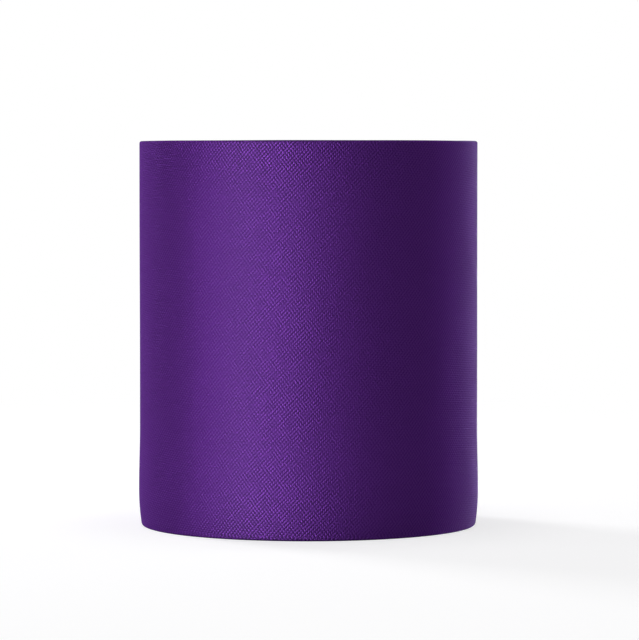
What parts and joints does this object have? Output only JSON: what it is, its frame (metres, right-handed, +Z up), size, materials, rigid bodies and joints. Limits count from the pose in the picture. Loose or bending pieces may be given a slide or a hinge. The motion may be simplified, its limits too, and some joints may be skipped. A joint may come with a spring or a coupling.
{
  "type": "can cooler sleeve",
  "caption": "Open-ended round sleeve of soft laminated foam, sewn down the back, that slips over a drinks can to keep it cool.",
  "frame": {"origin": "middle of the bottom edge, in the plane that the sleeve stands on", "axes": "+Z up along the tube, +Y towards the back, where the seam runs, and +X to the right as seen from the front"},
  "size_m": [0.0748, 0.075, 0.0845],
  "materials": {
    "woven_cloth": "fine plain weave, satin sheen, bonded to foam",
    "seam_thread": "twisted sewing thread, soft sheen"
  },
  "bodies": {
    "root": {"sleeve_wall": "woven_cloth", "seam_thread_outside": "seam_thread", "seam_thread_inside": "seam_thread"}
  },
  "joints": []
}
